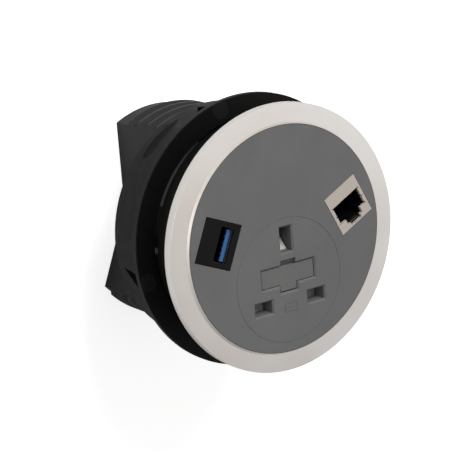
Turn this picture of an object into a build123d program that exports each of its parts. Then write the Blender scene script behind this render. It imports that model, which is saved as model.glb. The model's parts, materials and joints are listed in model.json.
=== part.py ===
from build123d import *
import os
from math import atan2, cos, degrees, pi, radians, sin, sqrt, tan

# In-desk power module. It drops into a round hole in a desk and stands here on its rear face.
# Z = 0 is the underside of the bezel, which is the top of the desk. +Z points up out of the bezel
# and +Y points from the middle of the socket to its earth aperture. All sizes are in millimetres.

# Barrel
barrel_radius = 39.7
barrel_length = 71.0
collar_length = 16.8
wall = 2.2
deck_thickness = 2.0
wing_half_width = 17.0
wing_foot_y = 2.6
wing_slope = 22.4
partition_top = 1.0
partition_gap = 0.3
rim_height = 0.6

# Bezel and fascia
bezel_overhang = 6.9
bezel_seat_fit = 0.1
bezel_height = 3.5
bezel_edge = 0.3
bevel_width = 0.7
bevel_land = 0.2
fascia_inset = 0.2
fascia_thickness = 3.0
fascia_top = 4.4
fascia_fit = 0.15
lip_width = 2.05

# Thread of barrel and clamp nut, single start and right-handed
thread_pitch = 5.9
thread_depth = 1.8
thread_root_width = 2.0
thread_rear_flank = 1.5
thread_front_flank = 1.0
thread_phase_z = -60.3
thread_front_z = -16.0
thread_end_upper = -61.9
thread_end_lower = -65.7
thread_clearance = 0.3
nut_lug_half_angle = 30.0
nut_lug_count = 3
nut_lug_margin = 1.5

# Clamp ring and nut, at the place where the photograph shows them
flange_z = -15.3
flange_thickness = 2.3
flange_overhang = 8.2
flange_edge = 0.2
ring_clearance = 0.6
nut_clearance = 0.4
nut_length = 19.0
nut_front_overhang = 5.8
nut_rear_overhang = 2.9
clamp_gap = 0.3
spigot_thickness = 1.2
spigot_length = 2.5
hook_reach = 0.5
hook_thickness = 1.0
notch_count = 4
notch_angle = -170.6
notch_width = 9.9
notch_length = 14.4
notch_depth = 2.5
scallop_radius = 4.4
scallop_depth = 0.9
scallop_angle = 135.0
scallop_sweep = 23.0
scallop_offset = 2.8
mark_radius = 3.2
mark_inset = 2.6
mark_angle = 101.5
mark_depth = 0.2

# Socket apertures and the pins that enter them
earth_width, earth_height = 4.8, 8.8
live_width, live_height = 7.2, 4.4
live_x, live_y = 11.11, -22.23
lead_in = 0.6
earth_pin_width, earth_pin_height = 4.0, 8.0
live_pin_height = 4.0
throat_bottom = -1.7
throat_wall = 1.2
pin_grip = 0.05
socket_circle_radius = 22.0
socket_circle_y = -14.3
groove_width = 0.25
groove_depth = 0.12
symbol_width, symbol_height, symbol_line = 5.2, 3.2, 7.2
symbol_drop = 1.9

# Fuse carrier, with a cartridge fuse of 5 x 20 mm
fuse_offset = 7.95
fuse_z = -0.6
fuse_length = 20.0
fuse_cap_radius = 2.6
fuse_cap_length = 5.0
fuse_tube_radius = 2.3
fuse_tube_wall = 0.8
carrier_margin = 1.0
carrier_side = 0.6
carrier_thickness = 1.3
carrier_sink = 0.7
carrier_gap = 0.2
tab_half_width = 3.5
tab_length = 2.65
notch_half_width = 3.2
notch_reach = 2.05
notch_low, notch_high = 0.2, 0.6
trough_depth = 1.2
tube_play = 0.1
trough_play = 0.3
trough_mouth = 3.6
clip_half_length = 2.0
clip_inset = 0.4
clip_sink = 1.2
clip_gap = 0.15
clip_thickness = 0.45

# Couplers, a data port on the left and a network jack on the right
coupler_outer_x, coupler_y = 35.0, 5.5
coupler_angle = 25.0
coupler_turn = 2.0
coupler_width, coupler_height = 13.2, 14.0
coupler_ledge = 0.8
plate_thickness = 2.0
coupler_rear = -28.0
coupler_fit = 0.15
web_top, web_bottom = -12.0, -13.0
barb_reach, barb_height, barb_half_width = 0.5, 2.4, 2.5
port_x = 2.2
shell_width, shell_height = 5.9, 12.7
shell_wall = 0.35
shell_sink = 0.7
shell_rear_sink = 0.1
tongue_thickness = 1.5
tongue_height = 11.0
tongue_offset = 1.45
tongue_recess = 1.2
pad_pitch, strip_pitch = 1.9, 2.2
pad_width, strip_width = 1.0, 1.0
jack_width, jack_height = 12.2, 7.0
jack_top = 2.9
latch_width, latch_step = 7.2, 2.0
keyway_width, keyway_step = 4.9, 1.2
jack_ear = 0.45
wire_pitch = 1.02
wire_count = 8

# Socket base, shutter and contacts
base_top = -3.9
base_plate = 3.0
base_bottom = -27.0
base_gap = 0.6
base_step_y = -6.0
chamber_wall = 1.6
chamber_floor = 2.0
shutter_thickness = 1.6
shutter_gap = 0.3
cover_margin = 0.05
cover_overlap = 1.55
rail_inner, rail_outer = 12.3, 15.4
bar_width = 3.4
ramp_half_width = 2.2
ramp_length = 4.6
ramp_land = 0.4
stop_thickness = 1.2
peg_length = 1.4
contact_metal = 0.6
tail_width = 4.0
tail_reach = 3.0
coil_wire = 0.4
coil_radius = 1.3
coil_turns = 5
coil_rest = 3.4
post_thickness = 1.6
post_half_width = 2.4
base_high_y = 9.4
base_foot_half_width = 10.2
screw_head_margin = 0.01
earth_chamber_x, earth_chamber_y = 1.4, 1.0
live_chamber_margin = 0.6
clip_slot_margin = 0.1
clip_slot_end = 0.6

# Inlet, rear cover and screws
cover_thickness = 2.0
cover_gap = 0.15
inlet_y = -14.0
inlet_width, inlet_height = 27.6, 20.0
recess_width, recess_height, recess_depth = 24.4, 16.6, 16.0
inlet_depth = 21.0
blade_width, blade_height = 2.0, 4.0
blade_spacing = 14.0
strap_thickness = 0.6
screw_radius = 1.5
screw_head_radius = 2.7
screw_head_height = 1.6
cross_length, cross_width, cross_depth = 3.0, 0.6, 0.9
boss_radius = 3.1
bore_clearance = 0.05
base_screw_length = 11.0
fascia_screw_length = 10.0
cover_screw_length = 10.0
boss_bite = 0.4
boss_depth = 16.0
boss_rim_gap = 0.3
fascia_screw_angles = (42.5, -20.6)
base_screw_x, base_screw_y = 6.5, 6.2
cover_screw_inset = 3.0
cover_screw_rise = 2.0
terminal_length = 4.0
inlet_flange, inlet_flange_thickness = 1.2, 1.6
inlet_corner = 4.0
blade_step = 2.0

# What follows from these
rear_z = -barrel_length
deck_z = -collar_length
core_radius = barrel_radius - thread_depth
cavity_radius = core_radius - wall
fascia_radius = barrel_radius - fascia_inset
fascia_bottom = fascia_top - fascia_thickness
bezel_radius = barrel_radius + bezel_overhang
bezel_bore = fascia_radius + fascia_fit
collar_inner = bezel_bore - lip_width
ring_bore = barrel_radius + ring_clearance
flange_radius = barrel_radius + flange_overhang
flange_low = flange_z - flange_thickness
spigot_radius = ring_bore + spigot_thickness
hook_radius = spigot_radius + hook_reach
hook_low = flange_low - spigot_length
nut_bore = barrel_radius + nut_clearance
nut_front_radius = barrel_radius + nut_front_overhang
nut_rear_radius = barrel_radius + nut_rear_overhang
nut_front = flange_low - clamp_gap
nut_rear = nut_front - nut_length
plate_width = coupler_width + 2 * coupler_ledge
plate_height = coupler_height + 2 * coupler_ledge
plate_seat = fascia_top - plate_thickness
coupler_x = coupler_outer_x - plate_width / 2
fuse_y = -earth_height / 2 - fuse_offset
carrier_top = fascia_top - carrier_sink
carrier_seat = carrier_top - carrier_thickness
carrier_half_length = fuse_length / 2 + carrier_margin
carrier_half_width = fuse_cap_radius + carrier_side
clip_x = fuse_length / 2 - clip_inset - clip_half_length
shutter_z = throat_bottom - shutter_gap
shutter_low = shutter_z - shutter_thickness
shutter_travel = live_height + 2 * cover_margin
cover_high_y = live_y + live_height / 2 + cover_margin
cover_low_y = live_y - live_height / 2 - cover_overlap
coil_z = base_top + coil_radius + coil_wire
post_y = cover_low_y - shutter_travel - coil_rest
tail_low = base_bottom - tail_reach
terminal_z = rear_z + inlet_depth + terminal_length


def wing_x(y, inset=0.0):
    """Half width of the winged body at a height y, inside a wall of thickness inset."""
    slope = radians(wing_slope)
    foot_y = wing_foot_y + inset * tan(slope / 2)
    return wing_half_width - inset + max(0, foot_y - y) * tan(slope)


def mirrored(places):
    """Each place and its mirror image across the middle plane."""
    return [(side * x, y) for x, y in places for side in (1, -1)]


def screw_places():
    """Places of the fascia, base and cover screws, beside the walls that carry their bosses."""
    rim = collar_inner - boss_radius - boss_rim_gap
    fascia_places = [(rim * cos(radians(a)), rim * sin(radians(a))) for a in fascia_screw_angles]
    beside_wall = wing_half_width - wall - boss_radius + boss_bite
    foot = cavity_radius - boss_radius + 2 * boss_bite
    foot_y = -sqrt(foot ** 2 - base_screw_x ** 2)
    base_places = [(beside_wall, base_screw_y), (base_screw_x, foot_y)]
    high_y = sqrt((cavity_radius - boss_radius) ** 2 - beside_wall ** 2) - cover_screw_inset
    low_y = inlet_y - inlet_height / 2 + cover_screw_rise
    low_x = wing_x(low_y, wall) - boss_radius / cos(radians(wing_slope)) + boss_bite
    cover_places = [(beside_wall, high_y), (low_x, low_y)]
    return mirrored(fascia_places), mirrored(base_places), mirrored(cover_places)


def block(x0, x1, y0, y1, z0, z1):
    """Box between two corners."""
    place = Pos((x0 + x1) / 2, (y0 + y1) / 2, (z0 + z1) / 2)
    return place * Box(abs(x1 - x0), abs(y1 - y0), abs(z1 - z0))


def centred(x, y, width, height, z0, z1):
    """Box centred on x and y."""
    return block(x - width / 2, x + width / 2, y - height / 2, y + height / 2, z0, z1)


def rod(x, y, radius, z0, z1):
    """Cylinder along Z."""
    return Pos(x, y, (z0 + z1) / 2) * Cylinder(radius, abs(z1 - z0))


def turned(points):
    """Solid turned about Z from an outline of (radius, z) points."""
    return revolve(make_face(Polyline(*[(r, 0, z) for r, z in points], close=True)), Axis.Z)


def prism(points, z0, z1):
    """Straight solid on an outline of (x, y) points."""
    outline = make_face(Polyline(*[(x, y) for x, y in points], close=True))
    return Pos(0, 0, z0) * extrude(outline, z1 - z0)


def ridge(points, half_width):
    """Straight solid across X on an outline of (y, z) points."""
    outline = make_face(Polyline(*[(0, y, z) for y, z in points], close=True))
    return extrude(outline, half_width, both=True)


def funnel(x, y, width, height):
    """Bevelled lead-in around an opening in the face of the fascia."""
    low = Pos(x, y, fascia_top - lead_in) * Rectangle(width, height)
    high = Pos(x, y, fascia_top) * Rectangle(width + 2 * lead_in, height + 2 * lead_in)
    return loft([low, high])


def around(piece, count, first=0.0):
    """Copies of a piece turned evenly about Z."""
    return [Rot(0, 0, first + 360 / count * k) * piece for k in range(count)]


def group(pieces):
    """Separate solids that share one node."""
    return Compound(children=[one(piece) for piece in pieces])


def one(shape):
    """The single solid that a piece consists of."""
    solids = shape.solids()
    return solids[0] if len(solids) == 1 else shape


def wing_outline(inset=0.0):
    """Outline of the body behind the collar, cut in from the sides to make the two bays."""
    x = wing_half_width - inset
    foot_y = wing_foot_y + inset * tan(radians(wing_slope) / 2)
    reach = barrel_radius + 10
    low_x = wing_x(-reach, inset)
    return [(-x, reach), (x, reach), (x, foot_y), (low_x, -reach), (-low_x, -reach), (-x, foot_y)]


def wing_body(radius, z0, z1, inset=0.0):
    """Winged body of one radius between two heights."""
    return rod(0, 0, radius, z0, z1) & prism(wing_outline(inset), z0, z1)


def groove_height(angle):
    """Height of the middle of the thread groove at an angle about Z, in degrees."""
    return thread_phase_z + thread_pitch * angle / 360


def on_helix(piece, angle, height):
    """A ring about Z, lifted to a height and tilted to follow the helix at an angle."""
    lean = degrees(atan2(thread_pitch, 2 * pi * barrel_radius))
    return Rot(0, 0, angle) * Pos(0, 0, height) * Rot(lean, 0, 0) * piece


def thread_profile(tip, base, clearance=0.0):
    """Outline across the groove between the threads, from a tip radius out to a base radius."""
    half = thread_root_width / 2 - clearance
    near = (tip - core_radius) / thread_depth
    far = (base - core_radius) / thread_depth
    return [(tip, -half - thread_rear_flank * near), (tip, half + thread_front_flank * near),
            (base, half + thread_front_flank * far), (base, -half - thread_rear_flank * far)]


def thread_cut(angle, end_z):
    """All that is cut from one wing to leave its stretches of thread and its plain end."""
    outside = barrel_radius + 1
    ring = turned(thread_profile(core_radius, outside))
    height = groove_height(angle)
    while height - thread_root_width / 2 - thread_rear_flank < end_z:
        height += thread_pitch
    cuts = []
    while height < thread_front_z:
        cuts.append(on_helix(ring, angle, height))
        height += thread_pitch
    flank_low = end_z - thread_rear_flank
    flank_high = flank_low + thread_rear_flank * (outside - core_radius) / thread_depth
    cuts.append(turned([(core_radius, rear_z - 1), (outside, rear_z - 1), (outside, flank_high),
                        (core_radius, flank_low)]))
    side = 1 if angle > 0 else -1
    half_space = block(-outside, outside, 0, side * outside, rear_z - 2, 0)
    return [cut & half_space for cut in cuts]


def coupler_place(side):
    """Where a coupler sits on the fascia: side is -1 for the data port and 1 for the network jack."""
    place = Pos(side * coupler_x, coupler_y, 0) * Rot(0, 0, side * coupler_angle)
    return Rot(0, 0, coupler_turn) * place


def coupler_hole(z0, z1):
    """Hole that the body of a coupler passes through."""
    return centred(0, 0, coupler_width + 2 * coupler_fit, coupler_height + 2 * coupler_fit, z0, z1)


def barrel_housing():
    """Black body: smooth collar, deck, two threaded wings and the mains compartment inside."""
    deck_top = deck_z + deck_thickness
    body = rod(0, 0, barrel_radius, deck_z, rim_height) + wing_body(barrel_radius, rear_z, deck_z)
    body -= thread_cut(90, thread_end_upper) + thread_cut(-90, thread_end_lower)
    body -= wing_body(cavity_radius, rear_z, deck_z, wall)
    body -= rod(0, 0, collar_inner, deck_top, rim_height)
    partition = wing_body(collar_inner + 0.5, deck_top, 0)
    body += partition + wing_body(collar_inner - partition_gap, 0, partition_top)
    body -= wing_body(collar_inner, deck_z, partition_top + 1, wall)
    fascia_places, base_places, cover_places = screw_places()
    bosses = [rod(x, y, boss_radius, base_seat() - boss_depth, base_seat()) for x, y in base_places]
    cover_seat = rear_z + cover_thickness
    bosses += [rod(x, y, boss_radius, cover_seat, cover_seat + boss_depth) for x, y in cover_places]
    body += [boss & rod(0, 0, barrel_radius - 0.5, rear_z, 0) for boss in bosses]
    bore = screw_radius + bore_clearance
    for x, y in base_places:
        body -= rod(x, y, bore, base_seat() - base_screw_length, base_top)
    for x, y in cover_places:
        body -= rod(x, y, bore, rear_z, rear_z + cover_screw_length + 1)
    for x, y in fascia_places:
        body -= rod(x, y, screw_radius + coupler_fit, deck_z - 1, deck_top + 1)
    for side in (-1, 1):
        body -= coupler_place(side) * coupler_hole(coupler_rear - 1, partition_top + 1)
    return one(body)


def base_seat():
    """Height of the bosses that the socket base rests on."""
    return base_top - base_plate


def bezel_ring():
    """Metal trim ring, seated over the rim of the collar, with a lip that the fascia rests on."""
    land = bezel_bore + bevel_land
    seat_radius = barrel_radius + bezel_seat_fit
    outline = [(collar_inner, rim_height), (seat_radius, rim_height), (seat_radius, 0),
               (bezel_radius, 0), (bezel_radius, bezel_height - bezel_edge),
               (bezel_radius - bezel_edge, bezel_height), (land + bevel_width, bezel_height),
               (land, fascia_top), (bezel_bore, fascia_top), (bezel_bore, fascia_bottom),
               (collar_inner, fascia_bottom)]
    return one(turned(outline))


def aperture_cut(x, y, width, height):
    """Throat of one pin aperture with its bevelled lead-in."""
    return centred(x, y, width, height, throat_bottom - 1, fascia_top + 1) + funnel(x, y, width, height)


def fuse_symbol():
    """Engraved outline of a fuse: a rectangle with a line through it."""
    y = live_y - symbol_drop
    floor = fascia_top - groove_depth
    inner_width = symbol_width - 2 * groove_width
    inner_height = symbol_height - 2 * groove_width
    cut = centred(0, y, symbol_width, symbol_height, floor, fascia_top + 1)
    cut -= centred(0, y, inner_width, inner_height, floor - 1, fascia_top + 2)
    return cut + centred(0, y, symbol_line, groove_width, floor, fascia_top + 1)


def carrier_recess():
    """Stepped recess for the fuse carrier, its tab and the notch for a screwdriver."""
    half_x = carrier_half_length + carrier_gap
    half_y = carrier_half_width + carrier_gap
    low_y, high_y = fuse_y - half_y, fuse_y + half_y
    tab_x = tab_half_width + carrier_gap
    cut = block(-half_x, half_x, low_y, high_y, carrier_seat, fascia_top + 1)
    cut += block(-tab_x, tab_x, low_y - tab_length, low_y + 1, carrier_seat, fascia_top + 1)
    cut += funnel(0, fuse_y, 2 * half_x, 2 * half_y)
    cut += funnel(0, low_y - tab_length / 2, 2 * tab_x, tab_length)
    well_x, well_y = half_x - 2 * carrier_gap, half_y - 1.5 * carrier_gap
    cut += block(-well_x, well_x, fuse_y - well_y, fuse_y + well_y, fascia_bottom - 1, carrier_seat)
    start_y = high_y - 0.01
    slope = [(start_y, carrier_seat + notch_low), (start_y, fascia_top + 1),
             (high_y + notch_reach, fascia_top + 1), (high_y + notch_reach, fascia_top - notch_high)]
    return cut + ridge(slope, notch_half_width)


def fascia():
    """Grey disc with the apertures, the fuse recess, the coupler windows and its screw bosses."""
    disc = rod(0, 0, fascia_radius, fascia_bottom, fascia_top)
    for x in (-live_x, live_x):
        disc += centred(x, live_y, live_width + 2 * throat_wall, live_height + 2 * throat_wall,
                        throat_bottom, fascia_bottom)
    ramp_x = ramp_half_width + shutter_gap
    disc += block(-ramp_x - throat_wall, ramp_x + throat_wall, -earth_height / 2,
                  earth_height / 2 + throat_wall, throat_bottom, fascia_bottom)
    fascia_places = screw_places()[0]
    deck_top = deck_z + deck_thickness
    for x, y in fascia_places:
        disc += rod(x, y, boss_radius, deck_top, fascia_bottom)
    disc -= aperture_cut(0, 0, earth_width, earth_height)
    disc -= block(-ramp_x, ramp_x, -earth_height / 2 - 1, earth_height / 2, throat_bottom - 1,
                  fascia_bottom)
    for x in (-live_x, live_x):
        disc -= aperture_cut(x, live_y, live_width, live_height)
    disc -= carrier_recess()
    for side in (-1, 1):
        window = centred(0, 0, plate_width + 2 * coupler_fit, plate_height + 2 * coupler_fit,
                         plate_seat, fascia_top + 1)
        disc -= coupler_place(side) * (window + coupler_hole(fascia_bottom - 1, plate_seat))
    for x, y in fascia_places:
        disc -= rod(x, y, screw_radius + bore_clearance, deck_z, deck_top + fascia_screw_length)
    circle = rod(0, socket_circle_y, socket_circle_radius, fascia_top - groove_depth, fascia_top + 1)
    circle -= rod(0, socket_circle_y, socket_circle_radius - groove_width, 0, fascia_top + 2)
    disc -= circle
    return one(disc - fuse_symbol())


def fuse_carrier():
    """Drawer plate with its tab, and the trough below that grips the fuse between its caps."""
    half_x, half_y = carrier_half_length, carrier_half_width
    low_y = fuse_y - half_y
    plate = block(-half_x, half_x, low_y, fuse_y + half_y, carrier_seat, carrier_top)
    plate += block(-tab_half_width, tab_half_width, low_y - tab_length + carrier_gap, low_y + 1,
                   carrier_seat, carrier_top)
    cheek = half_y - trough_play
    length = fuse_length / 2 - fuse_cap_length - carrier_gap
    trough = block(-length, length, fuse_y - cheek, fuse_y + cheek, fuse_z - trough_depth,
                   carrier_seat)
    trough -= Pos(0, fuse_y, fuse_z) * Rot(0, 90, 0) * Cylinder(fuse_tube_radius + tube_play, 2 * length + 2)
    trough -= centred(0, fuse_y, 2 * length + 2, trough_mouth, fuse_z - 3, fuse_z)
    return one(plate + trough)


def along_fuse(piece):
    """A piece made about Z, laid along the axis of the fuse."""
    return Pos(0, fuse_y, fuse_z) * Rot(0, 90, 0) * piece


def fuse_tube():
    """Ceramic tube of the fuse."""
    tube = Cylinder(fuse_tube_radius, fuse_length - 1)
    return one(along_fuse(tube - Cylinder(fuse_tube_radius - fuse_tube_wall, fuse_length)))


def fuse_end_caps():
    """The two metal caps of the fuse."""
    end = fuse_length / 2
    cap = rod(0, 0, fuse_cap_radius, end - fuse_cap_length, end)
    cap -= rod(0, 0, fuse_tube_radius, end - fuse_cap_length - 1, end - 0.5)
    return group([along_fuse(Rot(turn, 0, 0) * cap) for turn in (0, 180)])


def shutter():
    """Sliding safety shutter: a cover over the two lower apertures and a ramp under the upper one."""
    bar_y = -earth_height / 2
    frame_high = bar_y + bar_width
    plate = block(-rail_outer, rail_outer, cover_low_y, cover_high_y, shutter_low, shutter_z)
    plate += block(-rail_outer, rail_outer, bar_y, frame_high, shutter_low, shutter_z)
    for side in (-1, 1):
        plate += block(side * rail_inner, side * rail_outer, cover_low_y, frame_high,
                       shutter_low, shutter_z)
    ramp_top = fascia_bottom - shutter_gap
    slope = [(bar_y, shutter_low), (bar_y, ramp_top), (bar_y + ramp_land, ramp_top),
             (bar_y + ramp_length, shutter_low + ramp_land), (bar_y + ramp_length, shutter_low)]
    plate += ridge(slope, ramp_half_width)
    back_top = coil_z + coil_radius + coil_wire
    plate += block(-post_half_width, post_half_width, cover_low_y, cover_low_y + stop_thickness,
                   shutter_z, min(back_top, throat_bottom + 1))
    peg = Cylinder(coil_radius - coil_wire / 2 - shutter_gap, peg_length)
    peg_y = cover_low_y - peg_length / 2 + 0.1
    return one(plate + Pos(0, peg_y, coil_z) * Rot(90, 0, 0) * peg)


def biarc(a, tan_a, b, tan_b):
    """Two arcs from a to b that leave along tan_a and arrive along tan_b."""
    gap = b - a
    along = gap.dot(tan_a + tan_b)
    square = 2 * (tan_a.dot(tan_b) - 1)
    reach = (along - sqrt(along * along - square * gap.dot(gap))) / square
    joint = (a + b + (tan_a - tan_b) * reach) / 2
    first = Edge.make_tangent_arc(a, tan_a, joint)
    return [first, Edge.make_tangent_arc(joint, first % 1, b)]


def shutter_spring():
    """Coil spring between the cover of the shutter and the post on the socket base."""
    seat = coil_wire / 2 + 0.05
    start = cover_low_y - seat
    run = (start - post_y - seat) / coil_turns
    slope = run / (2 * pi * coil_radius)

    def place(k):
        angle = pi / 2 * k
        return Vector(coil_radius * cos(angle), start - run * k / 4, coil_z + coil_radius * sin(angle))

    def way(k):
        return Vector(-sin(pi / 2 * k), -slope, cos(pi / 2 * k)).normalized()

    edges = []
    for k in range(4 * coil_turns):
        edges += biarc(place(k), way(k), place(k + 1), way(k + 1))
    section = Plane(origin=place(0), z_dir=way(0)) * Circle(coil_wire / 2)
    return one(sweep(section, path=Wire(edges)))


def socket_base():
    """Moulded block with chambers for the contacts and the fuse clips."""
    seat = base_seat()
    beside_wall = wing_half_width - wall - base_gap
    low_half = wing_x(base_step_y, wall) - base_gap
    chamber_low = live_y - live_height / 2 - chamber_wall
    plate = block(-beside_wall, beside_wall, base_step_y, base_high_y, seat, base_top)
    plate += block(-low_half, low_half, chamber_low - chamber_wall, base_step_y, seat, base_top)
    foot_low = min(y for x, y in screw_places()[1]) - screw_head_radius - screw_head_margin
    plate += block(-base_foot_half_width, base_foot_half_width, min(foot_low, post_y - post_thickness),
                   chamber_low, seat, base_top)
    earth_x = earth_pin_width / 2 + earth_chamber_x
    earth_y = earth_pin_height / 2 + earth_chamber_y
    live_half = live_width / 2 + live_chamber_margin
    body = plate + block(-earth_x - chamber_wall, earth_x + chamber_wall, base_step_y,
                         earth_y + chamber_wall, base_bottom, seat)
    block_x = live_x + live_half + chamber_wall
    body += block(-block_x, block_x, chamber_low - chamber_wall, base_step_y, base_bottom, seat)
    floor = base_bottom + chamber_floor
    body -= block(-earth_x, earth_x, -earth_y, earth_y, floor, base_top + 1)
    body -= tail(0, 0, base_bottom - 1, floor + 1, bore_clearance)
    for x in (-live_x, live_x):
        body -= block(x - live_half, x + live_half, chamber_low, live_y + live_height / 2 + chamber_wall,
                      floor, base_top + 1)
        body -= tail(x, live_y, base_bottom - 1, floor + 1, bore_clearance)
    clip_y = fuse_cap_radius + clip_gap + clip_thickness + clip_slot_margin
    clip_end = fuse_length / 2 + clip_slot_end
    body -= block(-clip_end, clip_end, fuse_y - clip_y, fuse_y + clip_y, base_top - clip_sink,
                  base_top + 1)
    for x in (-clip_x, clip_x):
        body -= tail(x, fuse_y, base_bottom - 1, base_top, bore_clearance)
    for side in (-1, 1):
        body += block(side * (rail_outer + shutter_gap), side * (rail_outer + 1.5),
                      cover_low_y - 1, base_step_y - 1, base_top, shutter_z)
    body += block(-post_half_width, post_half_width, post_y - post_thickness, post_y, base_top,
                  coil_z + coil_radius)
    for x, y in screw_places()[1]:
        body -= screw_hole(x, y, base_top, -1, seat - 1)
    return one(body)


def screw_hole(x, y, face_z, way, end_z):
    """Countersunk hole for a screw whose head is flush with face_z; way is where it points along Z."""
    sink = Solid.make_cone(screw_head_radius + 0.1, screw_radius + 0.1, screw_head_height + 0.1)
    turn = Rot(180, 0, 0) if way < 0 else Rot(0, 0, 0)
    return rod(x, y, screw_radius + 0.1, face_z - way, end_z) + Pos(x, y, face_z) * turn * sink


def screw(x, y, face_z, way, length):
    """Countersunk screw with a cross recess, its head flush with face_z."""
    cone = Solid.make_cone(screw_head_radius, screw_radius, screw_head_height)
    shank = Pos(0, 0, length / 2) * Cylinder(screw_radius, length)
    bar = Box(cross_length, cross_width, 2 * cross_depth)
    cross = bar + Rot(0, 0, 90) * bar
    turn = Rot(180, 0, 0) if way < 0 else Rot(0, 0, 0)
    return Pos(x, y, face_z) * turn * (cone + shank - cross)


def base_screws():
    """Four screws that hold the socket base down on its bosses."""
    return group([screw(x, y, base_top, -1, base_screw_length) for x, y in screw_places()[1]])


def fascia_screws():
    """Four pan head screws from below the deck into the bosses of the fascia."""
    screws = []
    for x, y in screw_places()[0]:
        head = rod(x, y, screw_head_radius, deck_z - screw_head_height, deck_z)
        floor = deck_z - screw_head_height + cross_depth
        for width, height in ((cross_length, cross_width), (cross_width, cross_length)):
            head -= centred(x, y, width, height, deck_z - screw_head_height, floor)
        screws.append(head + rod(x, y, screw_radius, deck_z, deck_z + fascia_screw_length))
    return group(screws)


def cover_screws():
    """Four screws that hold the rear cover."""
    return group([screw(x, y, rear_z, 1, cover_screw_length) for x, y in screw_places()[2]])


def rear_cover():
    """Plate that closes the mains compartment, with a window for the inlet."""
    top = rear_z + cover_thickness
    plate = wing_body(cavity_radius - cover_gap, rear_z, top, wall + cover_gap)
    plate -= centred(0, inlet_y, inlet_width + 2 * cover_gap, inlet_height + 2 * cover_gap,
                     rear_z - 1, top + 1)
    for x, y in screw_places()[2]:
        plate -= screw_hole(x, y, rear_z, 1, top + 1)
    return one(plate)


def blade_places():
    """Middle of each inlet blade: line, neutral and earth."""
    half = blade_spacing / 2
    return [(-half, inlet_y + blade_step), (half, inlet_y + blade_step), (0, inlet_y - blade_step)]


def mains_inlet_body():
    """Recessed inlet for a detachable mains lead, with two cut corners and a flange."""
    seat = rear_z + cover_thickness
    body = centred(0, inlet_y, inlet_width, inlet_height, rear_z, rear_z + inlet_depth)
    body += centred(0, inlet_y, inlet_width + 2 * inlet_flange, inlet_height + 2 * inlet_flange,
                    seat, seat + inlet_flange_thickness)
    w, h, cut = recess_width / 2, recess_height / 2, inlet_corner
    outline = [(-w, inlet_y - h), (w, inlet_y - h), (w, inlet_y + h - cut), (w - cut, inlet_y + h),
               (-w + cut, inlet_y + h), (-w, inlet_y + h - cut)]
    body -= prism(outline, rear_z - 1, rear_z + recess_depth)
    for x, y in blade_places():
        body -= centred(x, y, blade_width + 2 * bore_clearance, blade_height + 2 * bore_clearance,
                        rear_z, rear_z + inlet_depth + 1)
    return one(body)


def mains_inlet_pins():
    """Three blades of the inlet, which end inside as terminals."""
    blades = []
    for x, y in blade_places():
        blade = centred(x, y, blade_width, blade_height, rear_z + 2, terminal_z)
        blades.append(chamfer(blade.faces().sort_by(Axis.Z)[0].edges(), 0.5))
    return group(blades)


def tail(x, y, low, high, grow=0.0):
    """Flat tail of a contact or clip, which leaves the base through its floor."""
    return centred(x, y, tail_width + 2 * grow, contact_metal + 2 * grow, low, high)


def fork(x, y, width, half_gap, along_x, top):
    """Spring contact with two leaves that grip a pin, a foot and a tail."""
    metal, flare = contact_metal, 0.7
    bottom = base_bottom + chamber_floor + 1.0 + metal
    leaf = [(half_gap + flare, top), (half_gap, top - 2.0), (half_gap, bottom),
            (half_gap + metal, bottom), (half_gap + metal, top - 2.0), (half_gap + metal + flare, top)]
    piece = block(-width / 2, width / 2, -half_gap - metal, half_gap + metal, bottom - metal, bottom)
    for side in (-1, 1):
        piece += ridge([(side * u, z) for u, z in leaf], width / 2)
    turn = Rot(0, 0, 90) if along_x else Rot(0, 0, 0)
    return one(Pos(x, y, 0) * turn * piece + tail(x, y, tail_low, bottom - metal / 2))


def line_contact():
    """Contact for the pin on the right."""
    return fork(live_x, live_y, live_width - 1.2, live_pin_height / 2 + pin_grip, False, base_top - 1.0)


def neutral_contact():
    """Contact for the pin on the left."""
    return fork(-live_x, live_y, live_width - 1.2, live_pin_height / 2 + pin_grip, False, base_top - 1.0)


def earth_contact():
    """Contact for the earth pin."""
    return fork(0, 0, earth_pin_height - 1.6, earth_pin_width / 2 + pin_grip, True, base_top - 1.4)


def fuse_clips():
    """Two clips that stand in the base and grip the caps of the fuse."""
    inner = fuse_cap_radius + clip_gap
    outer = inner + clip_thickness
    foot = base_top - clip_sink
    clips = []
    for x in (-clip_x, clip_x):
        low, high = x - clip_half_length, x + clip_half_length
        clip = block(low, high, fuse_y - outer, fuse_y + outer, foot, foot + clip_thickness)
        for side in (-1, 1):
            clip += block(low, high, fuse_y + side * inner, fuse_y + side * outer, foot, fuse_z + 1.5)
        clips.append(clip + tail(x, fuse_y, tail_low, foot + 0.2))
    return group(clips)


def tab_up(x, y_face, low):
    """Upright tab of a strap that lies flat against a tail whose face is at y_face."""
    half = tail_width / 2 - 0.1
    return block(x - half, x + half, y_face, y_face + strap_thickness, low, base_bottom - 0.3)


def line_busbar():
    """Strap from the line blade of the inlet to the first fuse clip."""
    x, y = blade_places()[0]
    half = tail_width / 2 - 0.1
    face = fuse_y + contact_metal / 2
    bar = block(min(x, -clip_x) - half, max(x, -clip_x) + half, y - 2, max(face + strap_thickness, y + 2),
                terminal_z, terminal_z + strap_thickness)
    return one(bar + tab_up(-clip_x, face, terminal_z))


def fused_link():
    """Strap from the second fuse clip to the line contact."""
    low = tail_low - 0.2 - strap_thickness
    face = live_y + contact_metal / 2
    near = fuse_y - contact_metal / 2 - strap_thickness
    half = tail_width / 2 - 0.1
    bar = tab_up(clip_x, near, low) + tab_up(live_x, face, low)
    return one(bar + block(clip_x - half, live_x + half, face, near + strap_thickness,
                           low, low + strap_thickness))


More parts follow.
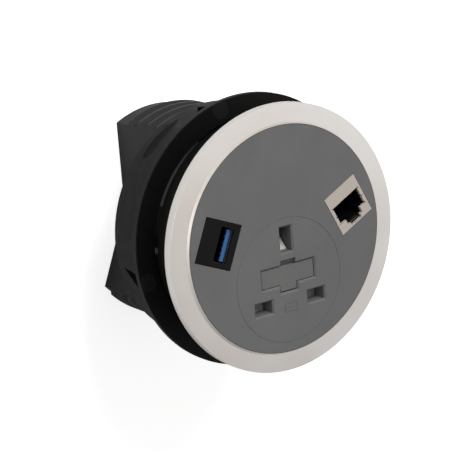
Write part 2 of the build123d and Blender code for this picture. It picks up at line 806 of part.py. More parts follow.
def neutral_busbar():
    """Strap from the neutral blade across to the neutral contact."""
    x, y = blade_places()[1]
    level = (terminal_z + tail_low) / 2
    face = live_y + contact_metal / 2
    side = y - blade_height / 2 - strap_thickness
    half = tail_width / 2 - 0.1
    bar = block(x - 1, x + 1, side, y + blade_height / 2, terminal_z, terminal_z + strap_thickness)
    bar += block(x - 1, x + 1, side, side + strap_thickness, terminal_z, level + strap_thickness)
    bar += block(-live_x - half, x + 1, side - 3, side + strap_thickness, level, level + strap_thickness)
    bar += block(-live_x - half, -live_x + half, face, side, level, level + strap_thickness)
    return one(bar + tab_up(-live_x, face, level))


def earth_strap():
    """Strap from the earth blade to the earth contact."""
    x, y = blade_places()[2]
    face = contact_metal / 2
    half = tail_width / 2 - 0.1
    bar = block(-half, half, y - 2, face + strap_thickness, terminal_z, terminal_z + strap_thickness)
    return one(bar + tab_up(x, face, terminal_z))


def coupler_shell(cavity):
    """Face plate and body of a coupler in its own place, with snap barbs, less its cavity."""
    body = centred(0, 0, plate_width, plate_height, plate_seat, fascia_top)
    body += centred(0, 0, coupler_width, coupler_height, coupler_rear, plate_seat)
    top = fascia_bottom - 0.1
    for side in (-1, 1):
        barb = [(-0.1, top), (barb_reach, top), (-0.1, top - barb_height)]
        outline = [(side * (coupler_width / 2 + x), 0, z) for x, z in barb]
        body += extrude(make_face(Polyline(*outline, close=True)), barb_half_width, both=True)
    return body - cavity


def port_tube(grow, z0, z1):
    """Space of the metal shell of the data port, grown on each side."""
    return centred(port_x, 0, shell_width + 2 * grow, shell_height + 2 * grow, z0, z1)


def data_port_body():
    """Black face plate and body of the data coupler."""
    cavity = port_tube(bore_clearance, web_top, fascia_top - shell_sink)
    cavity += port_tube(-shell_wall, web_top, fascia_top + 1)
    cavity += port_tube(bore_clearance, coupler_rear - 1, web_bottom)
    for y in strip_places():
        cavity += strip(y, bore_clearance)
    return one(coupler_place(-1) * coupler_shell(cavity))


def data_port_shells():
    """Folded metal shells of the port, front and rear."""
    shells = []
    for z0, z1 in ((web_top, fascia_top - shell_sink), (coupler_rear + shell_rear_sink, web_bottom)):
        tube = port_tube(0, z0, z1)
        hollow = port_tube(-shell_wall, z0 - 1, z1 + 1)
        tube = fillet(tube.edges().filter_by(Axis.Z), 0.3 + shell_wall)
        shells.append(coupler_place(-1) * (tube - fillet(hollow.edges().filter_by(Axis.Z), 0.3)))
    return group(shells)


def tongue_x():
    """The two faces of the tongue across its thickness."""
    middle = port_x + tongue_offset
    return middle - tongue_thickness / 2, middle + tongue_thickness / 2


def data_port_tongues():
    """Insulating tongues inside the shells, with five small windows near the front tip."""
    x0, x1 = tongue_x()
    half = tongue_height / 2
    tip = fascia_top - tongue_recess
    front = block(x0, x1, -half, half, web_top, tip)
    rear = block(x0, x1, -half, half, coupler_rear + tongue_recess, web_bottom)
    for k in range(-2, 3):
        front -= centred(x0, pad_pitch * k, 0.7, pad_width + 0.25, tip - 1.9, tip - 0.3)
    return group([coupler_place(-1) * piece for piece in (front, rear)])


def strip_places():
    """Middle of each long contact strip across the tongue."""
    return [strip_pitch * k for k in (-1.5, -0.5, 0.5, 1.5)]


def strip(y, grow=0.0):
    """Long contact strip that runs from the front tongue through the web to the rear one."""
    x0 = tongue_x()[0]
    half = strip_width / 2 + grow
    tip = fascia_top - tongue_recess - 2.7
    return block(x0 - 0.2 - grow, x0 + grow, y - half, y + half, coupler_rear + tongue_recess + 1.5, tip)


def data_port_contacts():
    """Four long strips and five small pads in the windows of the tongue."""
    x0 = tongue_x()[0]
    tip = fascia_top - tongue_recess
    pieces = [strip(y) for y in strip_places()]
    for k in range(-2, 3):
        pieces.append(centred(x0 + 0.25, pad_pitch * k, 0.2, pad_width, tip - 1.8, tip - 0.4))
    return group([coupler_place(-1) * piece for piece in pieces])


def jack_opening(z0, z1, to_face=False):
    """Opening of the network jack: plug space and latch step, and at the face also keyway and ears."""
    low = jack_top - jack_height
    cut = block(-jack_width / 2, jack_width / 2, low, jack_top, z0, z1)
    cut += block(-latch_width / 2, latch_width / 2, low - latch_step, low, z0, z1)
    if to_face:
        cut += block(-keyway_width / 2, keyway_width / 2, low - latch_step - keyway_step, low, z0, z1)
        half = jack_width / 2 + jack_ear
        for y in (jack_top - 0.3, jack_top - jack_height / 2 - 0.3, low + 0.3):
            cut += block(-half, half, y - 0.3, y + 0.3, z0, z1)
    return cut


def network_jack_body():
    """Pale face plate and body of the network coupler."""
    cavity = jack_opening(web_top, fascia_top + 1) + jack_opening(coupler_rear - 1, web_bottom)
    cavity += jack_opening(plate_seat, fascia_top + 1, to_face=True)
    for x in wire_places():
        cavity += centred(x, jack_top - 0.7, 0.5, 0.5, web_bottom - 1, web_top + 1)
    return one(coupler_place(1) * coupler_shell(cavity))


def wire_places():
    """Place of each contact wire across the jack."""
    return [wire_pitch * (k - (wire_count - 1) / 2) for k in range(wire_count)]


def network_jack_inserts():
    """Combs along the roof of the jack that hold the contact wires, front and rear."""
    combs = []
    for z0, z1 in ((web_top, web_top + 10.0), (web_bottom - 9.5, web_bottom)):
        comb = block(-jack_width / 2 + 0.3, jack_width / 2 - 0.3, jack_top - 1.2, jack_top - 0.1, z0, z1)
        for x in wire_places():
            comb -= centred(x, jack_top - 0.9, 0.5, 0.9, z0 - 1, z1 + 1)
        combs.append(coupler_place(1) * comb)
    return group(combs)


def network_jack_contacts():
    """Eight wires, straight through the web and bent back into each plug space."""
    wires = []
    height = jack_top - 0.7
    front, rear = web_top + 10.4, web_bottom - 10.0
    for x in wire_places():
        wire = centred(x, height, 0.4, 0.4, rear, front)
        for tip, back in ((front, front - 6.9), (rear, rear + 6.9)):
            bend = [(height + 0.2, tip), (height - 3.0, back), (height - 3.4, back), (height - 0.2, tip)]
            wire += Pos(x, 0, 0) * ridge(bend, 0.2)
        wires.append(coupler_place(1) * wire)
    return group(wires)


def pressure_ring():
    """Flat ring that bears on the underside of the desk, hooked into the nut behind it."""
    edge = flange_edge
    outline = [(ring_bore, flange_z), (flange_radius - edge, flange_z), (flange_radius, flange_z - edge),
               (flange_radius, flange_low + edge), (flange_radius - edge, flange_low),
               (spigot_radius, flange_low), (spigot_radius, hook_low + hook_thickness),
               (hook_radius, hook_low + hook_thickness - 0.3), (hook_radius, hook_low),
               (ring_bore, hook_low)]
    mark = rod(flange_radius - mark_inset, 0, mark_radius, flange_z - mark_depth, flange_z + 1)
    return one(turned(outline) - around(mark, notch_count, mark_angle))


def skirt_slope():
    """How much the radius of the skirt grows for each millimetre up."""
    return (nut_front_radius - nut_rear_radius) / nut_length


def notch_cut():
    """Wedge notch: a right triangle on the skirt, sunk parallel to its slope."""
    past = 1.0
    outline = [(0, past), (notch_width * (1 + past / notch_length), past), (0, -notch_length)]
    face = make_face(Polyline(*[(0, s, z) for s, z in outline], close=True))
    wedge = extrude(face, 2 * notch_depth + 3, dir=(1, 0, 0))
    lean = Rot(0, degrees(atan2(skirt_slope(), 1)), 0)
    return Pos(nut_front_radius - notch_depth, 0, nut_front) * lean * wedge


def scallop_cut():
    """Finger scallop: a shallow channel with a round end that fades out along the skirt."""
    z = (nut_front + nut_rear) / 2 - scallop_offset
    surface = nut_front_radius + (z - nut_front) * skirt_slope()
    start = Vector(surface - scallop_depth + scallop_radius, 0, z)
    lift = surface + scallop_radius + 0.4
    end = Vector(lift * cos(radians(-scallop_sweep)), lift * sin(radians(-scallop_sweep)), z)
    length = (end - start).length
    channel = Pos(0, 0, length / 2) * Cylinder(scallop_radius, length)
    return Plane(origin=start, z_dir=end - start) * channel + Pos(start.X, 0, z) * Sphere(scallop_radius)


def nut_lug():
    """One stretch of internal thread, thinner than the groove by the clearance on each flank."""
    outline = thread_profile(core_radius + nut_clearance, nut_bore + 0.3, thread_clearance)
    face = make_face(Polyline(*[(r, 0, z) for r, z in outline], close=True))
    return revolve(Rot(0, 0, -nut_lug_half_angle) * face, Axis.Z, 2 * nut_lug_half_angle)


def clamp_nut():
    """Clamp nut with a conical skirt, wedge notches, scallops and three stretches of thread."""
    neck = hook_radius - 0.2
    neck_low = hook_low + hook_thickness + clamp_gap
    recess_low = hook_low - clamp_gap
    outline = [(neck, nut_front), (nut_front_radius, nut_front), (nut_rear_radius, nut_rear),
               (nut_bore, nut_rear), (nut_bore, recess_low), (hook_radius + clamp_gap, recess_low),
               (hook_radius + clamp_gap, neck_low), (neck, neck_low)]
    nut = turned(outline) - around(notch_cut(), notch_count, notch_angle)
    nut -= around(scallop_cut(), 2, scallop_angle)
    for k in range(1, nut_lug_count + 1):
        angle = 360 / nut_lug_count * k
        height = groove_height(angle)
        while height < nut_rear + nut_lug_margin:
            height += thread_pitch
        lug = on_helix(nut_lug(), angle, height)
        nut += lug & rod(0, 0, nut_rear_radius, nut_rear + clamp_gap, nut_front)
    return one(nut)


PIECES = {
    "bezel_ring": bezel_ring,
    "fascia": fascia,
    "barrel_housing": barrel_housing,
    "rear_cover": rear_cover,
    "rear_cover_screws": cover_screws,
    "fascia_screws": fascia_screws,
    "socket_base": socket_base,
    "socket_base_screws": base_screws,
    "line_contact": line_contact,
    "neutral_contact": neutral_contact,
    "earth_contact": earth_contact,
    "fuse_clips": fuse_clips,
    "line_busbar": line_busbar,
    "fused_link": fused_link,
    "neutral_busbar": neutral_busbar,
    "earth_strap": earth_strap,
    "mains_inlet_body": mains_inlet_body,
    "mains_inlet_pins": mains_inlet_pins,
    "data_port_body": data_port_body,
    "data_port_shells": data_port_shells,
    "data_port_tongues": data_port_tongues,
    "data_port_contacts": data_port_contacts,
    "network_jack_body": network_jack_body,
    "network_jack_inserts": network_jack_inserts,
    "network_jack_contacts": network_jack_contacts,
    "shutter": shutter,
    "shutter_spring": shutter_spring,
    "fuse_carrier": fuse_carrier,
    "fuse_tube": fuse_tube,
    "fuse_end_caps": fuse_end_caps,
    "pressure_ring": pressure_ring,
    "clamp_nut": clamp_nut,
}

os.makedirs("parts", exist_ok=True)
for name, make in PIECES.items():
    piece = make()
    export_step(piece, f"parts/{name}.step")
    print(name, len(piece.solids()), "solids", round(piece.volume), "mm3")
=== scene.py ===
# %% [markdown]
# This lesson dresses an in-desk power module: a round socket that drops into a hole in a desk and is
# clamped from below. Its working parts come from the frame, at their real size and place. We bring
# what a camera sees: the finish of each surface, softened edges, the bare metal ring, and the light.
# Everything is in metres. The desk top is z = 0 and the module stands on its rear face.

# %% Load the frame
import json
from math import radians

import bpy
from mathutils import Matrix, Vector


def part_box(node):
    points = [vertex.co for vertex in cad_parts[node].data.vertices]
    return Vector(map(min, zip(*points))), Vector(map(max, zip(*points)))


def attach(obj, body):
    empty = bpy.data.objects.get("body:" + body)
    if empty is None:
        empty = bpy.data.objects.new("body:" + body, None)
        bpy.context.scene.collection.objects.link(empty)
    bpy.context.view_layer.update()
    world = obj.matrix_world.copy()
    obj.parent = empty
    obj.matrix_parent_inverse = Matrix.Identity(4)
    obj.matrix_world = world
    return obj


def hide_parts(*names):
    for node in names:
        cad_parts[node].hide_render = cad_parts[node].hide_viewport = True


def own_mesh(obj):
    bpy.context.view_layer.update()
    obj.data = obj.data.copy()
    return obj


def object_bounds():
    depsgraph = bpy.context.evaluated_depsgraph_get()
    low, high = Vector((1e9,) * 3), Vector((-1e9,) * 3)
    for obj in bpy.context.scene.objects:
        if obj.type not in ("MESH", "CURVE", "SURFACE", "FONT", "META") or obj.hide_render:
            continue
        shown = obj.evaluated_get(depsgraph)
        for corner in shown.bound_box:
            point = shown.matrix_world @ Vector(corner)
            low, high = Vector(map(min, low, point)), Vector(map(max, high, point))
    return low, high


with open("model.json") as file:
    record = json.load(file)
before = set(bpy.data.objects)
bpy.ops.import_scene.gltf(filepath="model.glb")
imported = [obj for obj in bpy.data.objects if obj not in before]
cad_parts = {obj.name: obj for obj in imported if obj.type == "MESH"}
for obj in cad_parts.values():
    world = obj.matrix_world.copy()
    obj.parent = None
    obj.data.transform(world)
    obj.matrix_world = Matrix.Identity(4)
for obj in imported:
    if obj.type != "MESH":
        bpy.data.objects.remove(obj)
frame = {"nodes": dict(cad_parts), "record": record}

MM = 0.001
cad_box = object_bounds()
rear_z = cad_box[0].z

# %% [markdown]
# The camera comes first, because every later choice is judged through it. It stands up and to the
# left of the face, about 0.7 m away, with a long lens, so that the round face is only a slight oval.
# A wide lens closer by would give the same place in the picture, but would stretch the rear of the
# barrel. The turn about the line of sight is what makes the socket look tipped in the picture.

# %% Camera
camera_place = Vector((-392.0, 185.5, 548.4)) * MM
camera_turn = [radians(angle) for angle in (-12.15, -35.345, -5.341)]
camera_lens = 157.8

bpy.ops.object.camera_add(location=camera_place, rotation=camera_turn)
camera = bpy.context.object
camera.name = "camera"
camera.data.lens = camera_lens
camera.data.sensor_width = 36.0
camera.data.dof.use_dof = False
bpy.context.scene.camera = camera
print("camera to face:", round(camera_place.length, 3), "m")

# %% [markdown]
# Surfaces are written as sums. A small class wraps one socket of a shader, so that "grain * 0.5 + 1"
# adds the Math nodes by itself. Its one other method makes any node: first the settings that change
# which sockets it has, then the values or links. This reads far better than a list of node calls.

# %% A socket that can be calculated with
class Wire:
    """One output of a shader tree. Arithmetic on it adds Math nodes."""

    def __init__(self, tree, socket):
        self.tree = tree
        self.socket = socket

    def node(self, kind, inputs, output=0, stops=None, **settings):
        """Any other node: its settings, the stops of a ramp, then its inputs by name or number."""
        new = self.tree.nodes.new(kind)
        for name, setting in settings.items():
            setattr(new, name, setting)
        if stops:
            ramp = new.color_ramp.elements
            while len(ramp) < len(stops):
                ramp.new(0.5)
            for element, (place, colour) in zip(ramp, stops):
                element.position = place
                element.color = colour
        for where, value in inputs.items():
            if isinstance(value, Wire):
                self.tree.links.new(value.socket, new.inputs[where])
            else:
                new.inputs[where].default_value = value
        return Wire(self.tree, new.outputs[output])

    def maths(self, operation, first, second=0.0):
        return self.node("ShaderNodeMath", {0: first, 1: second}, operation=operation)

    def __add__(self, other):
        return self.maths("ADD", self, other)

    def __radd__(self, other):
        return self.maths("ADD", other, self)

    def __sub__(self, other):
        return self.maths("SUBTRACT", self, other)

    def __rsub__(self, other):
        return self.maths("SUBTRACT", other, self)

    def __mul__(self, other):
        return self.maths("MULTIPLY", self, other)

    def __rmul__(self, other):
        return self.maths("MULTIPLY", other, self)

    def __pow__(self, other):
        return self.maths("POWER", self, other)

    def between(self, low, high):
        """This value, mapped so that low becomes 0 and high becomes 1, and held there."""
        return self.node("ShaderNodeMapRange", {0: self, 1: low, 2: high})

    def noise(self, place, size, detail=2.0, rough=0.5):
        """Cloudy noise with features of a size in metres."""
        inputs = {"Vector": place, "Scale": 1 / size, "Detail": detail, "Roughness": rough}
        return self.node("ShaderNodeTexNoise", inputs)

    def tint(self, amount, first, second):
        """A colour between two, by an amount from 0 to 1."""
        return self.node("ShaderNodeMix", {0: amount, 6: first, 7: second}, output=2, data_type="RGBA")

    def bump(self, height, depth, strength=1.0):
        """A normal bent by a height from 0 to 1, which stands for a depth in metres."""
        return self.node("ShaderNodeBump", {"Height": height, "Distance": depth, "Strength": strength})


def colour(red, green, blue):
    """A colour as it looks on a screen, 0 to 255, turned into the light that the shader wants."""
    levels = [value / 255 for value in (red, green, blue)]
    return (*[v / 12.92 if v < 0.04045 else ((v + 0.055) / 1.055) ** 2.4 for v in levels], 1.0)


def new_material(name):
    """A material with its Principled shader and the Object coordinates."""
    material = bpy.data.materials.new(name)
    material.use_nodes = True
    tree = material.node_tree
    shader = tree.nodes["Principled BSDF"]
    coordinates = tree.nodes.new("ShaderNodeTexCoord")
    return material, shader, Wire(tree, coordinates.outputs["Object"])


def feed(shader, **inputs):
    """Sets or links the sockets of a Principled shader; an underscore stands for a space."""
    for name, value in inputs.items():
        socket = shader.inputs[name.replace("_", " ")]
        if isinstance(value, Wire):
            value.tree.links.new(value.socket, socket)
        else:
            socket.default_value = value


print("colour 128 is", round(colour(128, 128, 128)[0], 3), "in light")

# %% [markdown]
# The stage is a pale floor under a pale sky. The photograph's ground is white, so the floor and the
# sky are lifted to white only where the camera looks at them. The light that falls on the module
# stays plain, and the floor still darkens where the module shades it. Reflections see a sky of their
# own that is brighter up and to the right, brighter again near the horizon, and warmer to the left.
# Bare metal needs such a slope: under an even sky a flat ring would be one flat tone.

# %% Floor and sky
floor_size = 12.0
floor_paint = colour(240, 240, 239)
floor_glow = 0.68
sky_light = 0.33
reflected_sky = 0.8
reflected_slope = (0.2, 0.6)
reflected_middle = (0.56, -0.265)
horizon_height = 0.45
horizon_light = 0.55
brightest, darkest = 1.02, 0.1
warm_light = (1.0, 0.94, 0.9, 1)


def ray_kinds(wire):
    """Three switches, each 1 for its rays: from the camera, from a reflection, and through glass."""
    path = wire.tree.nodes.new("ShaderNodeLightPath")
    kinds = ("Is Camera", "Is Glossy", "Is Transmission")
    return [Wire(wire.tree, path.outputs[kind + " Ray"]) for kind in kinds]


bpy.ops.mesh.primitive_plane_add(size=floor_size, location=(0, 0, rear_z))
floor = bpy.context.object
floor.name = "studio_floor"
material, shader, place = new_material("pale_floor")
from_camera = ray_kinds(place)[0]
cloud = place.noise(place, 0.4)
feed(shader, Base_Color=place.tint(cloud, floor_paint, colour(244, 244, 243)), Roughness=0.9)
feed(shader, Emission_Color=(1, 1, 1, 1), Specular_IOR_Level=0.0)
lift = place.tree.nodes.new("ShaderNodeEmission")
place.tree.links.new((from_camera * floor_glow).socket, lift.inputs["Strength"])
both = place.tree.nodes.new("ShaderNodeAddShader")
place.tree.links.new(shader.outputs[0], both.inputs[0])
place.tree.links.new(lift.outputs[0], both.inputs[1])
place.tree.links.new(both.outputs[0], place.tree.nodes["Material Output"].inputs["Surface"])
floor.data.materials.append(material)

world = bpy.data.worlds.new("studio_sky")
bpy.context.scene.world = world
world.use_nodes = True
sky = world.node_tree.nodes["Background"]
coordinates = world.node_tree.nodes.new("ShaderNodeTexCoord")
way = Wire(world.node_tree, coordinates.outputs["Generated"])
split = way.node("ShaderNodeSeparateXYZ", {0: way})
way_x, way_y, way_z = [Wire(way.tree, split.socket.node.outputs[k]) for k in range(3)]
from_camera, from_gloss, from_glass = ray_kinds(way)
slope_x = (way_x - reflected_middle[0]) * reflected_slope[0]
slope_y = (way_y - reflected_middle[1]) * reflected_slope[1]
slope = slope_x + slope_y
horizon = (1.0 - way_z.between(0.0, horizon_height)) * horizon_light
reflected = way.maths("MINIMUM", slope + reflected_sky + horizon, brightest)
reflected = way.maths("MAXIMUM", reflected, darkest)
plain = 1.0 - way.maths("MINIMUM", from_camera + from_gloss + from_glass, 1.0)
strength = from_camera + from_glass + from_gloss * reflected + plain * sky_light
warmth = (1.0 - way_x.between(0.1, 0.66)) * from_gloss
world.node_tree.links.new(strength.socket, sky.inputs["Strength"])
world.node_tree.links.new(way.tint(warmth, (1, 1, 1, 1), warm_light).socket, sky.inputs["Color"])
print("floor at z =", round(rear_z, 4))

# %% [markdown]
# One large soft lamp hangs over the far side of the face, where the lower edges of the apertures
# catch it, and a weaker one fills in from the camera's side. Large lamps give the satin metal its
# slow change of brightness. Small ones would leave hard spots on it.

# %% Lamps
def soft_lamp(name, place, size, watts):
    """A square lamp that looks at the middle of the face."""
    bpy.ops.object.light_add(type="AREA", location=place)
    lamp = bpy.context.object
    lamp.name = name
    lamp.data.size = size
    lamp.data.energy = watts
    lamp.rotation_euler = (-Vector(place)).to_track_quat("-Z", "Y").to_euler()
    return lamp


key = soft_lamp("key_lamp", (0.1, 1.0, 0.95), 0.7, 16.0)
fill = soft_lamp("fill_lamp", (-1.2, 0.3, 0.6), 0.8, 2.0)
key.visible_glossy = False
bpy.context.scene.view_settings.view_transform = "Standard"
print("lamps:", key.name, fill.name)

# %% [markdown]
# Most of the module is moulded plastic. A mould is spark-eroded to a fine even grain, so the gloss
# breaks up and small dents hide. One function makes every plastic here: a colour, a second colour it
# drifts to in slow clouds, the size and depth of the grain, and how rough it is. Grain is a bump,
# not a picture, so it stays sharp however near the camera comes.

# %% Moulded plastics
def height_of(place):
    """The z coordinate of a place."""
    return place.node("ShaderNodeSeparateXYZ", {0: place}, output=2)


def moulded(name, main, drift, rough, grain=0.35 * MM, depth=0.012 * MM, gloss=0.5, specks=0.05, zone=None):
    """Moulded plastic with a spark-eroded grain, slow clouds of colour and rubbed patches. A zone
    is a height, and the colour of what lies above it."""
    material, shader, place = new_material(name)
    clouds = place.noise(place, 14 * MM, detail=3.0).between(0.35, 0.65)
    fine = place.noise(place, grain, detail=1.5)
    pits = place.noise(place, grain * 0.45, detail=1.0)
    rubbed = place.noise(place, 5 * MM, detail=4.0).between(0.45, 0.75)
    shade = place.tint(clouds, colour(*main), colour(*drift))
    dark = place.tint(1.0, colour(*main), colour(*[max(0, v - 14) for v in main]))
    mottled = place.tint(fine.between(0.52, 0.72) * specks * 4, shade, dark)
    # A zone splits a part at a height into two colours; in this script one of the two is always painted
    # shade.
    if zone:
        level, other = zone
        mottled = place.tint(place.maths("GREATER_THAN", height_of(place), level), mottled, colour(*other))
    feed(shader, Base_Color=mottled, Specular_IOR_Level=gloss)
    feed(shader, Roughness=rough + (fine - 0.5) * 0.12 - rubbed * 0.06)
    feed(shader, Normal=place.bump(fine * 0.7 + pits * 0.3, depth))
    return material


fascia_grey = moulded("fascia_grey", (107, 107, 107), (103, 103, 103), 0.65, gloss=0.25)
carrier_grey = moulded("carrier_grey", (107, 107, 106), (103, 103, 103), 0.65, gloss=0.25)
# The housing's collar above z = -19 mm is painted near-black (9, 9, 9): painted shade from the bezel that
# hangs over it.
housing_black = moulded("housing_black", (36, 36, 37), (31, 31, 32), 0.55, depth=0.016 * MM, gloss=0.3,
                        zone=(-19.0 * MM, (9, 9, 9)))
cover_black = moulded("cover_black", (36, 36, 37), (30, 30, 31), 0.6, gloss=0.2)
nut_black = moulded("nut_black", (22, 22, 23), (18, 18, 19), 0.6, depth=0.016 * MM, gloss=0.1)
# The ring's front face above z = -15.45 mm is painted near-black (10, 10, 10): dark plastic, darkened
# further by painted shade from the bezel.
ring_black = moulded("ring_black", (26, 26, 27), (22, 22, 23), 0.55, grain=0.5 * MM, gloss=0.15,
                     zone=(-15.45 * MM, (10, 10, 10)))
inlet_black = moulded("inlet_black", (22, 22, 23), (17, 17, 18), 0.32, depth=0.004 * MM)
port_black = moulded("port_black", (15, 15, 16), (11, 11, 12), 0.45, grain=0.25 * MM, gloss=0.12)
insert_black = moulded("insert_black", (12, 12, 12), (9, 9, 9), 0.5, gloss=0.2)
base_cream = moulded("base_cream", (196, 190, 172), (188, 181, 162), 0.5, depth=0.006 * MM)
shutter_pale = moulded("shutter_pale", (196, 195, 190), (188, 187, 181), 0.4, depth=0.004 * MM)
# The jack body below z = 3.3 mm, its mouth, is painted near-black as painted shade; only its face above
# that height keeps its ivory colour.
jack_ivory = moulded("jack_ivory", (12, 12, 12), (9, 9, 9), 0.5, grain=0.25 * MM, gloss=0.2,
                     zone=(3.3 * MM, (185, 176, 167)))
tongue_blue = moulded("tongue_blue", (52, 98, 152), (46, 90, 144), 0.35, depth=0.003 * MM)
fuse_ceramic = moulded("fuse_ceramic", (224, 221, 211), (214, 210, 198), 0.3, depth=0.003 * MM)
print("plastics:", len(bpy.data.materials) - 1)

# %% [markdown]
# The metals differ in how they were worked. The bezel is turned and lightly brushed round its axis,
# so its marks are circles. The shells and straps are stamped from rolled strip, so their marks run
# along one direction. Screws are zinc plated and a little mottled. A brushed mark is a noise that is
# stretched along the tool's path.

# %% Metals
def brushed_round(name, main, drift, rough):
    """Bare metal turned about the Z axis, with fine circular marks."""
    material, shader, place = new_material(name)
    split = place.node("ShaderNodeSeparateXYZ", {0: place})
    x, y, z = [Wire(place.tree, split.socket.node.outputs[k]) for k in range(3)]
    radius = (x * x + y * y) ** 0.5
    turn = place.maths("ARCTAN2", y, x)
    path = {0: radius * 1000.0, 1: turn * 1.5, 2: z * 1000.0}
    around = place.node("ShaderNodeCombineXYZ", path)
    fine = {"Vector": around, "Scale": 7.0, "Detail": 3.0, "Roughness": 0.7}
    marks = place.node("ShaderNodeTexNoise", fine)
    broad = place.node("ShaderNodeTexNoise", {"Vector": around, "Scale": 0.8, "Detail": 2.0})
    clouds = place.noise(place, 25 * MM, detail=2.0).between(0.3, 0.7)
    feed(shader, Base_Color=place.tint(clouds, colour(*main), colour(*drift)), Metallic=1.0)
    feed(shader, Roughness=rough + (marks - 0.5) * 0.16 + (broad - 0.5) * 0.08)
    feed(shader, Normal=place.bump(marks, 0.006 * MM))
    return material


def rolled(name, main, drift, rough, along=(1, 1, 0.05), spots=0.0):
    """Plated or bare strip metal: marks drawn out along one axis, and faint spots of tarnish."""
    material, shader, place = new_material(name)
    pulled = place.node("ShaderNodeMapping", {"Vector": place, "Scale": along})
    marks = place.noise(pulled, 0.25 * MM, detail=2.0)
    tarnish = place.noise(place, 2.5 * MM, detail=4.0).between(0.5, 0.75)
    feed(shader, Base_Color=place.tint(tarnish, colour(*main), colour(*drift)), Metallic=1.0)
    feed(shader, Roughness=rough + (marks - 0.5) * 0.18 + tarnish * (0.12 + spots))
    feed(shader, Normal=place.bump(marks, 0.003 * MM))
    return material


bezel_steel = brushed_round("bezel_steel", (232, 229, 226), (224, 219, 214), 0.34)
shell_steel = rolled("shell_steel", (214, 213, 210), (196, 194, 190), 0.38)
contact_gold = rolled("contact_gold", (226, 188, 118), (206, 164, 96), 0.25)
contact_brass = rolled("contact_brass", (206, 172, 108), (170, 134, 78), 0.32, spots=0.1)
screw_steel = rolled("screw_steel", (186, 187, 186), (162, 163, 160), 0.34, along=(1, 1, 1), spots=0.1)
spring_steel = rolled("spring_steel", (190, 190, 188), (164, 163, 160), 0.28, along=(1, 0.1, 1))
cap_nickel = rolled("cap_nickel", (218, 215, 208), (198, 194, 186), 0.2)
print("materials:", len(bpy.data.materials))

# %% [markdown]
# Each node of the frame keeps its shape and gets its finish here. The record names the slot that each
# node takes, which lets someone repaint the part later.

# %% Finishes of the nodes
FINISHES = {
    "bezel_ring": bezel_steel, "fascia": fascia_grey, "fuse_carrier": carrier_grey,
    "barrel_housing": housing_black, "rear_cover": cover_black, "clamp_nut": nut_black,
    "pressure_ring": ring_black, "mains_inlet_body": inlet_black, "data_port_body": port_black,
    "network_jack_body": jack_ivory, "network_jack_inserts": insert_black, "socket_base": base_cream,
    "shutter": shutter_pale, "data_port_tongues": tongue_blue, "fuse_tube": fuse_ceramic,
    "data_port_shells": shell_steel, "data_port_contacts": contact_gold,
    "network_jack_contacts": contact_gold, "line_contact": contact_brass,
    "neutral_contact": contact_brass, "earth_contact": contact_brass, "fuse_clips": contact_brass,
    "line_busbar": contact_brass, "fused_link": contact_brass, "neutral_busbar": contact_brass,
    "earth_strap": contact_brass, "mains_inlet_pins": cap_nickel, "fuse_end_caps": cap_nickel,
    "rear_cover_screws": screw_steel, "fascia_screws": screw_steel, "socket_base_screws": screw_steel,
    "shutter_spring": spring_steel,
}


def finish_with(piece, material):
    """Gives a whole piece one material."""
    piece.data.materials.clear()
    piece.data.materials.append(material)


for node, material in FINISHES.items():
    finish_with(frame["nodes"][node], material)
print("finished nodes:", len(FINISHES), "of", len(frame["nodes"]))

# %% [markdown]
# The bezel is turned from solid metal. Its edges are broken by a fraction of a millimetre, and it is
# these small rounds that draw the bright lines round it. We draw it the way it is turned: a circle is
# extruded and scaled from corner to corner of the profile, the last loop is bridged to the first, and
# a bevel breaks the corners. It sits exactly where the frame's ring does and stands for it.

# %% Bezel ring
ring_steps = 256
edge_break = 0.16 * MM
face_height = 3.5 * MM
lip_height = 1.4 * MM
lip_radius = 37.6 * MM
seat_radius = 39.8 * MM
seat_height = 0.6 * MM
bore_radius = 39.65 * MM
land_width = 0.2 * MM
bevel_width = 0.4 * MM


def only(piece):
    """Selects one piece alone and makes it the active one."""
    bpy.ops.object.select_all(action="DESELECT")
    piece.select_set(True)
    bpy.context.view_layer.objects.active = piece


def break_edges(piece, width, angle, segments=2):
    """Rounds the edges that are sharper than an angle in degrees."""
    bevel = piece.modifiers.new("broken_edges", "BEVEL")
    bevel.width = width
    bevel.segments = segments
    bevel.limit_method = "ANGLE"
    bevel.angle_limit = radians(angle)
    bevel.miter_outer = "MITER_ARC"
    bpy.ops.object.modifier_apply(modifier=bevel.name)


def turned(name, outline):
    """A ring turned about Z from an outline of (radius, height) corners."""
    bpy.ops.object.select_all(action="DESELECT")
    radius, height = outline[0]
    bpy.ops.mesh.primitive_circle_add(vertices=ring_steps, radius=radius, location=(0, 0, height))
    piece = bpy.context.object
    piece.name = piece.data.name = name
    bpy.ops.object.transform_apply(location=True)
    bpy.ops.object.mode_set(mode="EDIT")
    bpy.ops.mesh.select_all(action="SELECT")
    for next_radius, next_height in outline[1:]:
        rise = {"value": (0, 0, next_height - height)}
        bpy.ops.mesh.extrude_region_move(TRANSFORM_OT_translate=rise)
        grow = next_radius / radius
        bpy.ops.transform.resize(value=(grow, grow, 1), center_override=(0, 0, 0))
        radius, height = next_radius, next_height
    bpy.ops.mesh.select_all(action="DESELECT")
    bpy.ops.mesh.select_non_manifold()
    bpy.ops.mesh.bridge_edge_loops()
    bpy.ops.mesh.select_all(action="SELECT")
    bpy.ops.mesh.normals_make_consistent(inside=False)
    bpy.ops.object.mode_set(mode="OBJECT")
    return piece


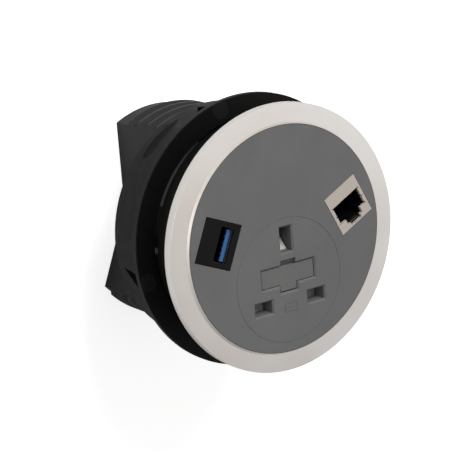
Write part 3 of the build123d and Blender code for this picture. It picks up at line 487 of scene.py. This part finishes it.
bezel_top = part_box("bezel_ring")[1]
bezel = turned("bezel", [
    (lip_radius, seat_height), (seat_radius, seat_height), (seat_radius, 0), (bezel_top.x, 0),
    (bezel_top.x, face_height),
    (bore_radius + land_width + bevel_width, face_height), (bore_radius + land_width, bezel_top.z),
    (bore_radius, bezel_top.z), (bore_radius, lip_height), (lip_radius, lip_height)])
break_edges(bezel, edge_break, 20, segments=3)
bpy.ops.object.shade_smooth_by_angle(angle=radians(25))
finish_with(bezel, bezel_steel)
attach(bezel, "module")
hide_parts("bezel_ring")
print("bezel faces:", len(bezel.data.polygons))

# %% [markdown]
# No moulded edge is truly sharp: a mould can't be cut so, and a small round is kinder to the hand. The
# frame's meshes are loose triangles with sharp edges. For each piece that shows, a copy is joined up,
# its flat faces are merged, and a bevel rounds what is left as an edge. The copy stands for the node.

# %% Softened edges
def body_of_node(node):
    """The name of the body that a node belongs to."""
    return next(body for body, nodes in frame["record"]["behaviour"]["bodies"].items() if node in nodes)


def slot_of_node(node):
    """The record's material slot of a node."""
    return next(part["material_slot"] for part in frame["record"]["subparts"] if part["node"] == node)


def merged_copy(node, ending):
    """A copy of a node's mesh, its loose triangles joined up."""
    source = frame["nodes"][node]
    piece = bpy.data.objects.new(node + ending, source.data.copy())
    bpy.context.scene.collection.objects.link(piece)
    only(piece)
    bpy.ops.object.mode_set(mode="EDIT")
    bpy.ops.mesh.select_all(action="SELECT")
    bpy.ops.mesh.remove_doubles(threshold=0.0005 * MM)
    bpy.ops.object.mode_set(mode="OBJECT")
    return piece


def stand_in(piece, node):
    """Gives a piece the node's finish and body, and shows it in the node's place."""
    finish_with(piece, FINISHES[node])
    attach(piece, body_of_node(node))
    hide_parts(node)
    slot_of_node(node)


def softened(node, width, segments=2):
    """A copy of a node with its edges rounded, which stands for the node."""
    piece = merged_copy(node, "_soft")
    bpy.ops.object.mode_set(mode="EDIT")
    bpy.ops.mesh.select_all(action="SELECT")
    bpy.ops.mesh.dissolve_limited(angle_limit=radians(0.8))
    bpy.ops.object.mode_set(mode="OBJECT")
    break_edges(piece, width, 38, segments)
    bpy.ops.object.shade_smooth_by_angle(angle=radians(32))
    flatten = piece.modifiers.new("flat_faces", "WEIGHTED_NORMAL")
    flatten.keep_sharp = True
    bpy.ops.object.modifier_apply(modifier=flatten.name)
    stand_in(piece, node)
    print(node, "softened:", len(piece.data.polygons), "faces")
    return piece


SOFT_EDGES = {
    "fascia": 0.1, "fuse_carrier": 0.12, "clamp_nut": 0.25, "pressure_ring": 0.15, "barrel_housing": 0.2,
    "rear_cover": 0.15, "mains_inlet_body": 0.2, "data_port_body": 0.08, "network_jack_body": 0.08,
    "shutter": 0.1,
}
for node, width in SOFT_EDGES.items():
    softened(node, width * MM)

# %% [markdown]
# The shutter's spring stays in its pocket while the shutter comes towards it, so it can't simply ride
# on one body: it has to shorten. A copy of the coil stands for the node, with a mesh of its own, but
# is not squashed. How much of it would be left follows from its length and the shutter's travel.

# %% Shutter spring
spring_low, spring_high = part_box("shutter_spring")
spring_length = spring_high.y - spring_low.y
joints = frame["record"]["behaviour"]["joints"]
shutter_travel = next(joint["range_m"][1] for joint in joints if joint["name"] == "shutter_slide")
spring = merged_copy("shutter_spring", "_coil")
bpy.ops.object.shade_smooth_by_angle(angle=radians(60))
stand_in(spring, "shutter_spring")
(spring_length - shutter_travel) / spring_length
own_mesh(spring)
print("spring:", round(spring_length / MM, 2), "mm, pressed by", round(shutter_travel / MM, 2), "mm")
